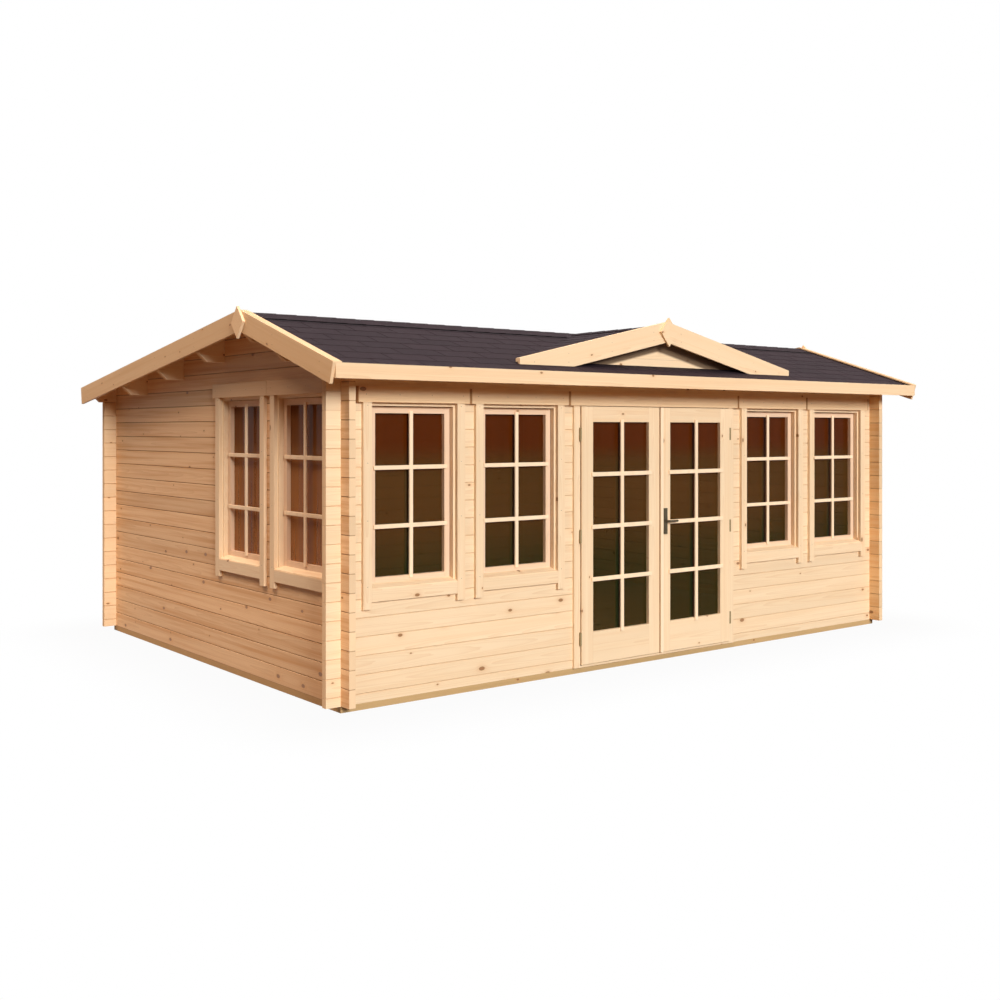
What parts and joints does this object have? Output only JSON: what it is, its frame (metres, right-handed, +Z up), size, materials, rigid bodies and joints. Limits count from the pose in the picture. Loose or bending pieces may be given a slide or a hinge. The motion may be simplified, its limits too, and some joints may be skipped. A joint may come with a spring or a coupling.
{
  "type": "log cabin",
  "caption": "Log cabin with an off-centre ridge, a decorative cross gable over a glazed double door that opens, and fixed windows.",
  "frame": {"origin": "on the ground, under the middle of the roof's outline", "axes": "+X along the eaves to the right of someone who faces the door, +Y from the door to the rear wall, +Z up"},
  "size_m": [5.772, 4.275, 2.504],
  "materials": {
    "wood": "bare planed spruce",
    "treated_wood": "pressure treated",
    "felt_shingles": "mineral grit on bitumen felt",
    "glass": "clear float glass",
    "steel": "satin"
  },
  "bodies": {
    "cabin": {"apex_covers": "wood", "bargeboards_left": "wood", "bargeboards_right": "wood", "bearers": "treated_wood", "door_frame": "wood", "dormer_bargeboards": "wood", "dormer_boards": "wood", "dormer_cap": "wood", "dormer_panel": "wood", "dormer_ridge_cap": "felt_shingles", "dormer_shingles": "felt_shingles", "fascia_front": "wood", "fascia_rear": "wood", "floor_boards": "wood", "frame_hinges": "steel", "front_wall_left": "wood", "front_wall_right": "wood", "front_wall_top": "wood", "gable_cap_left": "wood", "gable_cap_right": "wood", "header_boards": "wood", "left_wall": "wood", "purlins": "wood", "rear_wall": "wood", "ridge_beam": "wood", "ridge_cap": "felt_shingles", "right_wall": "wood", "roof_boards_front": "wood", "roof_boards_rear": "wood", "shingles_front": "felt_shingles", "shingles_rear": "felt_shingles", "threshold": "wood", "window_frames": "wood", "window_glass": "glass", "window_sashes": "wood", "window_trim": "wood"},
    "left_leaf": {"door_leaf_left": "wood", "door_glass_left": "glass", "leaf_hinges_left": "steel"},
    "right_leaf": {"door_leaf_right": "wood", "door_glass_right": "glass", "leaf_hinges_right": "steel", "handle_plates": "steel"},
    "lever": {"door_lever": "steel"}
  },
  "joints": [
    {"name": "left_leaf_hinge", "type": "hinge", "parent": "cabin", "child": "left_leaf", "pos_m": [-0.77, -1.8745, 0.951], "axis": [0, 0, -1], "range_deg": [0, 100]},
    {"name": "right_leaf_hinge", "type": "hinge", "parent": "cabin", "child": "right_leaf", "pos_m": [0.77, -1.8745, 0.951], "axis": [0, 0, 1], "range_deg": [0, 100]},
    {"name": "lever_turn", "type": "hinge", "parent": "right_leaf", "child": "lever", "pos_m": [0.057, -1.8775, 1.02], "axis": [0, 1, 0], "range_deg": [0, 45], "stiffness_Nm_per_rad": 0.6}
  ]
}
